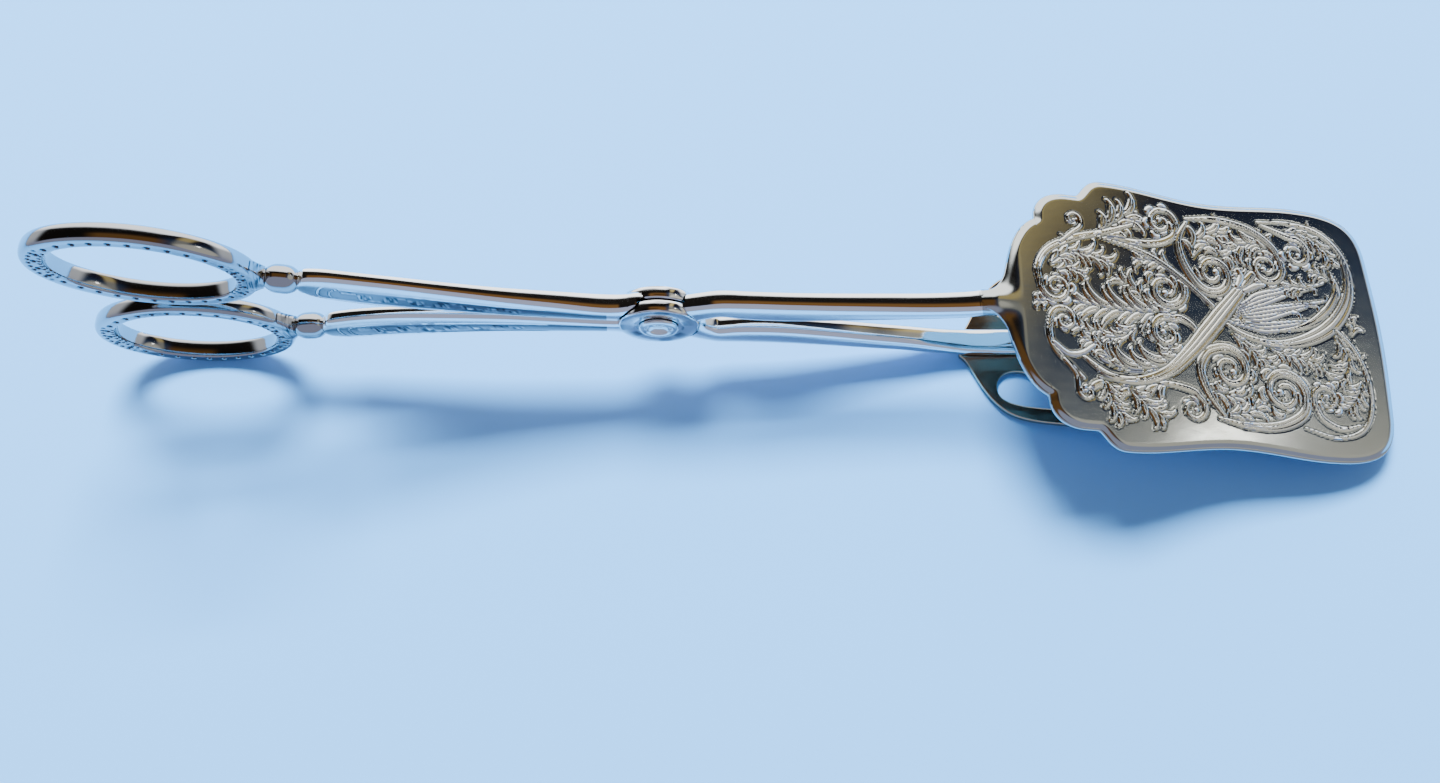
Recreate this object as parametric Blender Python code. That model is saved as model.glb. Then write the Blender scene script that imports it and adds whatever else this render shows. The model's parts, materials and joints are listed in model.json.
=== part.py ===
"""Scissor-action serving tongs in silver plate.

Two crossed arms turn on one hollow rivet.  Each arm is a forged bar: a leaf-shaped grip, a flat
round boss and a stem.  A turned knop joins its grip to an oval finger ring.  The front arm carries
the solid blade, the rear arm carries the pierced head.  The rear arm is the front arm turned half
round its own length, so the two bosses lie face to face in a half-lap joint.

Metres, +Z up, +X towards the heads, the rivet's axis along Y.  The tongs lie closed on a table at
z = 0, on the front arm's ring and on the flat underside of the pierced head.  The origin is the
middle of the base of the bounding box.
"""
import math

import bmesh
import bpy
from mathutils import Vector

MM = 0.001

# Lie of the closed tongs
HANDLE_ANGLE = math.radians(9.12)   # each handle, from the tongs' centre line
LIE_ANGLE = math.radians(5.76)      # the centre line falls by this towards the heads
GAP = 0.3 * MM                      # free space between neighbouring pieces

# Finger rings, measured along the handle from the rivet
RING_CENTRE = 85.0 * MM
RING_HOLE_HALF_LENGTH = 14.5 * MM
RING_HOLE_HALF_HEIGHT = 9.8 * MM
RING_BAND_AT_KNOP = 3.4 * MM
RING_BAND_AT_END = 3.8 * MM
RING_BAND_AT_SIDES = 2.55 * MM
RING_HALF_DEPTH = 1.65 * MM
RING_NECK_HALF_DEPTH = 1.62 * MM

# Half its section, from the hole outwards: (share of the band, share of the half depth)
RING_HALF_SECTION = ((0.0, 0.35), (0.03, 0.85), (0.10, 1.0), (0.76, 1.0), (0.90, 0.85), (0.98, 0.5), (1.0, 0.18))
RING_SECTION = RING_HALF_SECTION + tuple((share, -depth) for share, depth in reversed(RING_HALF_SECTION))

# Knops
KNOP_GRIP_END = 60.9 * MM
KNOP_RING_END = 66.3 * MM
KNOP_NECK_RADIUS = 1.7 * MM
KNOP_RADIUS = 2.45 * MM

# Arms
ARM_HALF_DEPTH = 2.1 * MM
BOSS_RADIUS = 7.1 * MM
BOSS_FACE = 2.45 * MM               # boss face, from the tongs' middle plane
BOSS_BEVEL = 0.35 * MM

# Rivet
RIVET_SHANK_RADIUS = 2.1 * MM
RIVET_CLEARANCE = 0.1 * MM
RIVET_HEAD_RADIUS = 3.5 * MM
RIVET_HEAD_HEIGHT = 0.55 * MM
RIVET_DIMPLE_RADIUS = 2.2 * MM
RIVET_DIMPLE_DEPTH = 1.3 * MM

# Solid blade: its neck point is on the top face, measured from the rivet's axis
BLADE_SLOPE = math.radians(14.7)
BLADE_NECK_X = 59.05 * MM
BLADE_NECK_TOP = 5.5 * MM
BLADE_LENGTH = 76.4 * MM
BLADE_THICKNESS = 1.5 * MM

# Pierced head, flat on the table, x measured from the rivet's axis
HEAD_THICKNESS = 1.3 * MM
HEAD_TIP_X = 127.5 * MM

# Where the rivet's axis stands
RING_OUTER_HALF_HEIGHT = RING_HOLE_HALF_HEIGHT + RING_BAND_AT_SIDES
RING_OUTER_HALF_LENGTH = RING_HOLE_HALF_LENGTH + 0.5 * (RING_BAND_AT_KNOP + RING_BAND_AT_END)
RING_OUTER_CENTRE = RING_CENTRE + 0.5 * (RING_BAND_AT_END - RING_BAND_AT_KNOP)
RESTING_RING_ANGLE = HANDLE_ANGLE - LIE_ANGLE
PIVOT_HEIGHT = RING_OUTER_CENTRE * math.sin(RESTING_RING_ANGLE) + math.hypot(
    RING_OUTER_HALF_LENGTH * math.sin(RESTING_RING_ANGLE),
    RING_OUTER_HALF_HEIGHT * math.cos(RESTING_RING_ANGLE))
RING_REACH = RING_OUTER_CENTRE * math.cos(RESTING_RING_ANGLE) + math.hypot(
    RING_OUTER_HALF_LENGTH * math.cos(RESTING_RING_ANGLE),
    RING_OUTER_HALF_HEIGHT * math.sin(RESTING_RING_ANGLE))
BLADE_REACH = BLADE_NECK_X + BLADE_LENGTH * math.cos(BLADE_SLOPE)
PIVOT_X = 0.5 * (RING_REACH - BLADE_REACH)

# Fineness of the round shapes
SECTION_POINTS = 16
RING_POINTS = 48
ROUND_POINTS = 32
CURVE_STEPS = 6

FRONT, REAR = 1, -1


# ---------------------------------------------------------------- helpers

def clear_scene():
    for old in list(bpy.data.objects):
        bpy.data.objects.remove(old, do_unlink=True)


def silver(name, colour, roughness):
    material = bpy.data.materials.new(name)
    material.use_nodes = True
    shader = material.node_tree.nodes["Principled BSDF"]
    shader.inputs["Base Color"].default_value = (*colour, 1.0)
    shader.inputs["Metallic"].default_value = 1.0
    shader.inputs["Roughness"].default_value = roughness
    return material


def add_object(name, mesh, material, parent):
    obj = bpy.data.objects.new(name, mesh)
    bpy.context.scene.collection.objects.link(obj)
    if material is not None:
        mesh.materials.append(material)
    mesh.shade_smooth()
    mesh.set_sharp_from_angle(angle=math.radians(35))
    obj.parent = parent
    return obj


def mesh_from_rings(name, rings, closed_loop=False):
    """Skin a list of equal point rings; an open run gets a flat cap at each end."""
    bm = bmesh.new()
    rows = [[bm.verts.new(point) for point in ring] for ring in rings]
    spans = len(rows) if closed_loop else len(rows) - 1
    for i in range(spans):
        row, nxt = rows[i], rows[(i + 1) % len(rows)]
        for j in range(len(row)):
            k = (j + 1) % len(row)
            bm.faces.new((row[j], row[k], nxt[k], nxt[j]))
    if not closed_loop:
        bm.faces.new(rows[0])
        bm.faces.new(rows[-1])
    bmesh.ops.recalc_face_normals(bm, faces=bm.faces[:])
    mesh = bpy.data.meshes.new(name)
    bm.to_mesh(mesh)
    bm.free()
    return mesh


def mesh_from_outline(name, outline, low, high):
    """Prism over an XY outline between two heights."""
    return mesh_from_rings(name, [[(x, y, z) for x, y in outline] for z in (low, high)])


def turned_mesh(name, profile, centre, axis, across):
    """Turn (distance along axis, radius) pairs about an axis; both ends get flat caps."""
    axis, across = Vector(axis).normalized(), Vector(across).normalized()
    third = axis.cross(across)
    rings = []
    for along, radius in profile:
        turn = [math.tau * i / ROUND_POINTS for i in range(ROUND_POINTS)]
        rings.append([Vector(centre) + axis * along + radius * (across * math.cos(a) + third * math.sin(a))
                      for a in turn])
    return mesh_from_rings(name, rings)


def boolean(target, other, operation):
    modifier = target.modifiers.new(other.name, "BOOLEAN")
    modifier.operation = operation
    modifier.object = other
    modifier.solver = "EXACT"
    other.hide_render = True
    other.display_type = "WIRE"
    other.hide_viewport = False


def bezier(start, handle_a, handle_b, end, steps=CURVE_STEPS):
    """Points of one cubic curve, without its end point."""
    points = []
    for i in range(steps):
        t = i / steps
        weights = ((1 - t) ** 3, 3 * t * (1 - t) ** 2, 3 * t * t * (1 - t), t ** 3)
        corners = (start, handle_a, handle_b, end)
        points.append(tuple(sum(w * c[axis] for w, c in zip(weights, corners)) for axis in (0, 1)))
    return points


def curve_through(segments, scale=MM):
    """Join cubic curves and straight lines into one list of points, in metres."""
    points = []
    for segment in segments:
        points += bezier(*segment) if len(segment) == 4 else [segment[0]]
    points.append(segments[-1][-1])
    return [(x * scale, y * scale) for x, y in points]


def mirrored(half):
    """Close a half outline, given at y > 0, with its mirror image."""
    return half + [(x, -y) for x, y in reversed(half) if y > 1e-7]


def smooth_stations(stations, steps=3):
    """Catmull-Rom run through the stations, number by number."""
    ends = [stations[0]] + list(stations) + [stations[-1]]
    out = []
    for a, b, c, d in zip(ends, ends[1:], ends[2:], ends[3:]):
        for i in range(steps):
            t = i / steps
            out.append(tuple(
                0.5 * (2 * q + (r - p) * t + (2 * p - 5 * q + 4 * r - s) * t * t
                       + (3 * q - p - 3 * r + s) * t ** 3)
                for p, q, r, s in zip(a, b, c, d)))
    out.append(tuple(stations[-1]))
    return out


def bar_rings(stations, squareness=3.2):
    """Rounded sections square to a run in the XZ plane.

    A station is (x, z, half height, lowest y, highest y)."""
    rings = []
    for i, (x, z, half, low_y, high_y) in enumerate(stations):
        before, after = stations[max(i - 1, 0)], stations[min(i + 1, len(stations) - 1)]
        along = Vector((after[0] - before[0], 0, after[1] - before[1])).normalized()
        up = Vector((-along.z, 0, along.x))
        middle, half_y = 0.5 * (low_y + high_y), 0.5 * abs(high_y - low_y)
        ring = []
        for j in range(SECTION_POINTS):
            a = math.tau * (j + 0.5) / SECTION_POINTS
            c, s = math.cos(a), math.sin(a)
            y = middle + half_y * math.copysign(abs(c) ** (2 / squareness), c)
            ring.append(Vector((x, y, z)) + up * half * math.copysign(abs(s) ** (2 / squareness), s))
        rings.append(ring)
    return rings


# ---------------------------------------------------------------- places on the tongs

def lie(x, z):
    """From the tongs' own centre line to the lie on the table; the rivet is the origin."""
    return (x * math.cos(LIE_ANGLE) + z * math.sin(LIE_ANGLE),
            -x * math.sin(LIE_ANGLE) + z * math.cos(LIE_ANGLE))


def on_handle(side, along, outward=0.0):
    """A place on an arm's handle; outward is away from the other handle."""
    x = -along * math.cos(HANDLE_ANGLE) + outward * math.sin(HANDLE_ANGLE)
    z = -along * math.sin(HANDLE_ANGLE) - outward * math.cos(HANDLE_ANGLE)
    return lie(x, side * z)


def handle_axis(side):
    x, z = on_handle(side, 1.0)
    return Vector((x, 0, z))


# ---------------------------------------------------------------- pieces

def finger_ring(name, side, material, parent):
    """Oval band, wider at its two ends, with a rounded outer side and a short neck."""
    axis = handle_axis(side)
    up = Vector((-axis.z, 0, axis.x))
    centre = axis * RING_CENTRE
    rings = []
    for i in range(RING_POINTS):
        a = math.tau * i / RING_POINTS
        end_share = abs(math.cos(a)) ** 3
        band_end = RING_BAND_AT_END if math.cos(a) > 0 else RING_BAND_AT_KNOP
        band = RING_BAND_AT_SIDES + (band_end - RING_BAND_AT_SIDES) * end_share
        inner = Vector((RING_HOLE_HALF_LENGTH * math.cos(a), RING_HOLE_HALF_HEIGHT * math.sin(a)))
        outward = Vector((inner.x / RING_HOLE_HALF_LENGTH ** 2, inner.y / RING_HOLE_HALF_HEIGHT ** 2)).normalized()
        ring = []
        for across, depth in RING_SECTION:
            place = inner + outward * band * across
            ring.append(centre + axis * place.x + up * place.y + Vector((0, depth * RING_HALF_DEPTH, 0)))
        rings.append(ring)
    ring_object = add_object(name, mesh_from_rings(name, rings, closed_loop=True), material, parent)
    flare = ((KNOP_RING_END + GAP, 1.9 * MM), (67.1 * MM, 2.7 * MM), (67.9 * MM, 3.9 * MM),
             (69.0 * MM, 5.2 * MM))
    stations = [(axis.x * along, axis.z * along, half, -RING_NECK_HALF_DEPTH, RING_NECK_HALF_DEPTH)
                for along, half in flare]
    neck = add_object(name + "_neck", mesh_from_rings("neck", bar_rings(stations)), None, parent)
    boolean(ring_object, neck, "UNION")
    return ring_object


def knop(name, side, material, parent):
    """Turned barrel with a narrow neck at each end."""
    start, end = KNOP_GRIP_END + GAP, KNOP_RING_END
    profile = [(start, KNOP_NECK_RADIUS)]
    swell_steps = 9
    for i in range(swell_steps + 1):
        t = i / swell_steps
        radius = KNOP_NECK_RADIUS + (KNOP_RADIUS - KNOP_NECK_RADIUS) * math.sin(math.pi * t) ** 0.6
        profile.append((start + 0.4 * MM + (end - start - 0.8 * MM) * t, radius))
    profile.append((end, KNOP_NECK_RADIUS))
    mesh = turned_mesh(name, profile, (0, 0, 0), handle_axis(side), (0, 1, 0))
    return add_object(name, mesh, material, parent)


def grip_stations(side):
    """Leaf-shaped grip from its neck to the boss: (along, outward, half height, half depth) in mm."""
    leaf = ((60.9, 0.0, 1.6, 1.5), (60.3, 0.0, 2.5, 1.6), (59.2, 0.0, 3.3, 1.65), (56.8, -0.3, 3.95, 1.7),
            (51.5, -0.8, 4.3, 1.7), (45.0, -1.0, 4.3, 1.7), (36.0, -0.9, 3.8, 1.75), (27.0, -0.6, 3.3, 1.85),
            (18.0, 0.2, 2.75, 2.0), (11.5, 0.8, 2.3, 2.1), (8.0, 1.35, 2.3, 2.1))
    out = []
    for along, outward, half_height, half_depth in leaf:
        x, z = on_handle(side, along * MM, outward * MM)
        out.append((x, z, half_height * MM, -side * half_depth * MM, side * half_depth * MM))
    return out


def stem_stations(side):
    """Run across the boss and stem towards the head, on the tongs' centre line: (x, z, half height)."""
    stem = ((-5.4, -2.7, 2.85), (-3.0, -2.9, 3.6), (-0.5, -1.6, 4.4), (2.0, 0.6, 4.2), (4.6, 2.6, 3.3),
            (7.6, 4.5, 2.6), (10.8, 5.7, 2.45), (15.3, 5.3, 2.95), (22.1, 5.2, 3.05), (30.6, 5.8, 2.75),
            (38.3, 6.6, 2.4), (45.9, 7.4, 2.1))
    out = []
    for x_mm, z_mm, half_height in stem:
        x, z = lie(x_mm * MM, side * z_mm * MM)
        out.append((x, z, half_height * MM, -side * ARM_HALF_DEPTH, side * ARM_HALF_DEPTH))
    return out


def front_tail():
    """The front stem's end, which meets the neck of the solid blade: x and z from the rivet."""
    return [(x * MM, z * MM, h * MM, -w * MM, w * MM)
            for x, z, h, w in ((53.0, 3.2, 1.9, 2.15), (56.2, 3.85, 1.75, 2.2))]


def rear_tail():
    """The rear stem's end, a rib along the top of the pierced head: x from the rivet, z from the table."""
    rib = ((51.5, 3.7, 1.85, 2.2), (57.0, 2.95, 1.35, 2.35), (64.0, 2.75, 1.15, 2.4),
           (72.0, 2.45, 0.85, 2.2), (78.5, 2.15, 0.5, 1.6), (80.0, 2.0, 0.3, 1.0))
    return [(x * MM, z * MM - PIVOT_HEIGHT, h * MM, w * MM, -w * MM) for x, z, h, w in rib]


def arm(name, side, tail, material, parent):
    """Grip, boss and stem in one forging, cut to half depth where the other arm's boss lies."""
    stations = smooth_stations(grip_stations(side) + stem_stations(side) + tail)
    arm_object = add_object(name, mesh_from_rings(name, bar_rings(stations)), material, parent)
    face = Vector((0, -side, 0))
    across = (1, 0, 0)
    disc_profile = [(GAP / 2, BOSS_RADIUS), (BOSS_FACE - BOSS_BEVEL, BOSS_RADIUS),
                    (BOSS_FACE, BOSS_RADIUS - BOSS_BEVEL)]
    disc = add_object(name + "_boss", turned_mesh("boss", disc_profile, (0, 0, 0), face, across), None, parent)
    boolean(arm_object, disc, "UNION")
    lap_profile = [(-2 * BOSS_FACE, BOSS_RADIUS + GAP), (GAP / 2, BOSS_RADIUS + GAP)]
    lap = add_object(name + "_lap", turned_mesh("lap", lap_profile, (0, 0, 0), face, across), None, parent)
    boolean(arm_object, lap, "DIFFERENCE")
    bore_radius = RIVET_SHANK_RADIUS + RIVET_CLEARANCE
    bore_profile = [(-BOSS_FACE, bore_radius), (2 * BOSS_FACE, bore_radius)]
    bore = add_object(name + "_bore", turned_mesh("bore", bore_profile, (0, 0, 0), face, across), None, parent)
    boolean(arm_object, bore, "DIFFERENCE")
    return arm_object


def rivet(name, material, parent):
    """Hollow rivet: a rolled head and a dimple at each end of the shank."""
    seat = BOSS_FACE + GAP / 2
    crown = seat + RIVET_HEAD_HEIGHT
    lip = RIVET_DIMPLE_RADIUS
    outer_half = [(0.0, RIVET_SHANK_RADIUS), (seat, RIVET_SHANK_RADIUS), (seat, RIVET_HEAD_RADIUS - 0.2 * MM),
                  (seat + 0.2 * MM, RIVET_HEAD_RADIUS), (crown - 0.15 * MM, RIVET_HEAD_RADIUS - 0.25 * MM),
                  (crown, 0.5 * (RIVET_HEAD_RADIUS + lip)), (crown - 0.15 * MM, lip),
                  (crown - RIVET_DIMPLE_DEPTH, 0.6 * lip)]
    profile = [(-along, radius) for along, radius in reversed(outer_half[1:])] + outer_half
    mesh = turned_mesh(name, profile, (0, 0, 0), (0, -1, 0), (1, 0, 0))
    return add_object(name, mesh, material, parent)


def blade_outline():
    """Spade outline with stepped shoulders, from the neck (x = 0) to the tip, in the blade's plane."""
    half = curve_through((
        ((-1.5, 2.0), (0.2, 2.1), (0.9, 3.0), (1.5, 5.2)),
        ((1.5, 5.2), (2.4, 8.2), (3.4, 14.6), (8.0, 16.6)),
        ((8.0, 16.6), (8.1, 17.9)),
        ((8.1, 17.9), (8.6, 20.6), (10.9, 22.1), (14.2, 22.2)),
        ((14.2, 22.2), (16.6, 22.2)),
        ((16.6, 22.2), (17.8, 22.6), (18.4, 25.4), (21.5, 25.6)),
        ((21.5, 25.6), (28.5, 25.8), (35.5, 23.7), (43.0, 23.7)),
        ((43.0, 23.7), (50.0, 23.7), (55.5, 24.9), (61.5, 24.8)),
        ((61.5, 24.8), (71.2, 24.8), (75.0, 22.4), (75.6, 15.0)),
        ((75.6, 15.0), (76.0, 10.0), (76.4, 5.0), (BLADE_LENGTH / MM, 0.0))))
    return mirrored(half)


def solid_blade(name, material, parent):
    """Flat spade plate on a tapering neck."""
    def in_plane(along, y, depth):
        return Vector((BLADE_NECK_X + along * math.cos(BLADE_SLOPE) - depth * math.sin(BLADE_SLOPE), y,
                       BLADE_NECK_TOP - along * math.sin(BLADE_SLOPE) - depth * math.cos(BLADE_SLOPE)))
    rings = [[in_plane(x, y, depth) for x, y in blade_outline()] for depth in (BLADE_THICKNESS, 0.0)]
    blade = add_object(name, mesh_from_rings(name, rings), material, parent)
    neck = [(x * MM, z * MM, h * MM, -w * MM, w * MM)
            for x, z, h, w in ((56.9, 3.98, 1.7, 2.2), (60.0, 3.95, 1.4, 2.6), (63.0, 3.55, 1.0, 3.0),
                               (66.0, 2.8, 0.72, 2.6), (68.0, 2.3, 0.6, 1.6))]
    tang = add_object(name + "_neck", mesh_from_rings("tang", bar_rings(smooth_stations(neck))), None, parent)
    boolean(blade, tang, "UNION")
    return blade


def head_outline():
    """Paddle outline of the pierced head, x from the rivet."""
    half = curve_through((
        ((54.8, 2.0), (57.4, 2.6), (58.3, 9.8), (63.4, 13.3)),
        ((63.4, 13.3), (66.4, 15.2), (70.5, 15.4), (75.4, 15.9)),
        ((75.4, 15.9), (85.0, 16.8), (94.0, 18.4), (104.0, 18.2)),
        ((104.0, 18.2), (113.0, 18.0), (119.5, 17.0), (122.8, 12.0)),
        ((122.8, 12.0), (125.6, 7.8), (HEAD_TIP_X / MM, 4.4), (HEAD_TIP_X / MM, 0.0))))
    return mirrored(half)


def head_piercings():
    """Openings on the +y half of the pierced head; each has a mirror twin."""
    shoulder = (((61.8, 8.4), (61.8, 5.4), (65.4, 4.4), (69.0, 6.4)),
                ((69.0, 6.4), (76.0, 9.6), (86.0, 10.6), (95.0, 12.0)),
                ((95.0, 12.0), (98.6, 12.7), (98.4, 15.3), (94.6, 15.0)),
                ((94.6, 15.0), (86.0, 14.2), (77.0, 13.0), (70.0, 12.5)),
                ((70.0, 12.5), (65.6, 12.0), (61.8, 11.4), (61.8, 8.4)))
    middle = (((78.2, 4.4), (78.4, 2.9), (80.5, 2.6), (84.0, 2.6)),
              ((84.0, 2.6), (95.0, 2.6), (104.0, 2.2), (114.5, 2.2)),
              ((114.5, 2.2), (119.4, 2.3), (119.4, 8.6), (114.0, 8.8)),
              ((114.0, 8.8), (104.0, 9.2), (92.0, 7.9), (81.5, 6.6)),
              ((81.5, 6.6), (79.4, 6.2), (78.1, 5.6), (78.2, 4.4)))
    corner = (((102.6, 13.4), (102.8, 11.9), (104.6, 11.7), (107.0, 11.7)),
              ((107.0, 11.7), (110.0, 11.7), (113.0, 11.6), (115.6, 11.2)),
              ((115.6, 11.2), (118.6, 10.8), (118.2, 13.2), (115.2, 14.3)),
              ((115.2, 14.3), (111.6, 15.3), (108.0, 15.3), (105.0, 15.2)),
              ((105.0, 15.2), (103.4, 15.1), (102.5, 14.6), (102.6, 13.4)))
    return [curve_through(shape)[:-1] for shape in (shoulder, middle, corner)]


def pierced_head(name, material, parent):
    """Thin openwork plate that lies flat on the table."""
    low, high = -PIVOT_HEIGHT, HEAD_THICKNESS - PIVOT_HEIGHT
    head = add_object(name, mesh_from_outline(name, head_outline(), low, high), material, parent)
    for i, opening in enumerate(head_piercings()):
        for twin in (1, -1):
            outline = [(x, twin * y) for x, y in opening]
            mesh = mesh_from_outline("piercing", outline, low - 2 * MM, high + 2 * MM)
            cutter = add_object(f"{name}_piercing_{i}_{twin}", mesh, None, parent)
            boolean(head, cutter, "DIFFERENCE")
    return head


def pivot_empty(name):
    empty = bpy.data.objects.new(name, None)
    bpy.context.scene.collection.objects.link(empty)
    empty.location = (PIVOT_X, 0.0, PIVOT_HEIGHT)
    return empty


def build():
    clear_scene()
    bright = silver("polished_silver_plate", (0.82, 0.81, 0.79), 0.12)
    worn = silver("engraved_silver_plate", (0.70, 0.69, 0.66), 0.2)
    nickel = silver("rivet_metal", (0.72, 0.71, 0.70), 0.22)
    front_pivot, rear_pivot = pivot_empty("front_half"), pivot_empty("rear_half")

    finger_ring("front_finger_ring", FRONT, bright, front_pivot)
    knop("front_knop", FRONT, bright, front_pivot)
    arm("front_arm", FRONT, front_tail(), bright, front_pivot)
    solid_blade("solid_blade", worn, front_pivot)
    rivet("pivot_rivet", nickel, front_pivot)

    finger_ring("rear_finger_ring", REAR, bright, rear_pivot)
    knop("rear_knop", REAR, bright, rear_pivot)
    arm("rear_arm", REAR, rear_tail(), bright, rear_pivot)
    pierced_head("pierced_head", worn, rear_pivot)


build()
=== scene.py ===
"""Looks for scissor-action serving tongs in silver plate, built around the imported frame."""
import json
import math

import bmesh
import bpy
import numpy as np
from mathutils import Matrix, Vector
from mathutils.kdtree import KDTree


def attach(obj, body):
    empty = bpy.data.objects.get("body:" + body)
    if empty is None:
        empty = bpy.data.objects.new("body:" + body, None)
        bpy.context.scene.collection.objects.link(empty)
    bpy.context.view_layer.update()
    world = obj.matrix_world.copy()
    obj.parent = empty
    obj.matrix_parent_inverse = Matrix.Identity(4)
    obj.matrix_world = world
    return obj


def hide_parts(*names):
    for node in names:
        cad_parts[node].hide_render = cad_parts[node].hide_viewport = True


MM = 0.001
FRONT, REAR = 1, -1

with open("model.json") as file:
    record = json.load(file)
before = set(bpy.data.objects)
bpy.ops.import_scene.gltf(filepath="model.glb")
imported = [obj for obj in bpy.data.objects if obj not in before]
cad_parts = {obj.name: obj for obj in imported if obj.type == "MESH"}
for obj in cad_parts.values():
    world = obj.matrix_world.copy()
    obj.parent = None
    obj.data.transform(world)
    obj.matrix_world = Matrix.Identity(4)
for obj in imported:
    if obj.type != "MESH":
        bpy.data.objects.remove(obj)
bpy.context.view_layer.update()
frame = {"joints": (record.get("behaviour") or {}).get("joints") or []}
PIVOT = Vector(frame["joints"][0]["pos_m"])

# Lie of the closed tongs, as in the CAD
HANDLE_ANGLE = math.radians(9.12)
LIE_ANGLE = math.radians(5.76)
BLADE_SLOPE = math.radians(14.7)


# ---- curves

def catmull(points, steps=8):
    """Smooth run through rows of numbers."""
    p = np.array(points, float)
    ends = np.vstack([2 * p[:1] - p[1:2], p, 2 * p[-1:] - p[-2:-1]])
    out = []
    for a, b, c, d in zip(ends, ends[1:], ends[2:], ends[3:]):
        for t in np.arange(steps) / steps:
            out.append(0.5 * (2 * b + (c - a) * t + (2 * a - 5 * b + 4 * c - d) * t * t
                              + (3 * b - a - 3 * c + d) * t ** 3))
    out.append(p[-1])
    return np.array(out)


def cubic(segments, steps):
    """Join cubic curves and straight lines, each given by its points, into one run."""
    out = []
    for segment in segments:
        p = np.array(segment, float)
        if len(p) == 2:
            out.append(p[0])
            continue
        for t in np.arange(steps) / steps:
            w = np.array([(1 - t) ** 3, 3 * t * (1 - t) ** 2, 3 * t * t * (1 - t), t ** 3])
            out.append(w @ p)
    out.append(np.array(segments[-1][-1], float))
    return np.array(out)


def smoothstep(low, high, value):
    """Smooth change from 0 at low to 1 at high."""
    t = np.clip((value - low) / (high - low), 0, 1)
    return t * t * (3 - 2 * t)


def rounded(wave, squareness=3.2):
    """Turn a sine or cosine into one side of a rounded square."""
    return np.sign(wave) * np.abs(wave) ** (2 / squareness)


def unit_rows(rows):
    """Scale every row to length 1."""
    return rows / np.maximum(np.linalg.norm(rows, axis=1), 1e-9)[:, None]


def heading_vector(degrees):
    """Unit vector in the plane, from +X towards +Y."""
    return np.array([math.cos(math.radians(degrees)), math.sin(math.radians(degrees))])


# ---- relief

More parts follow.
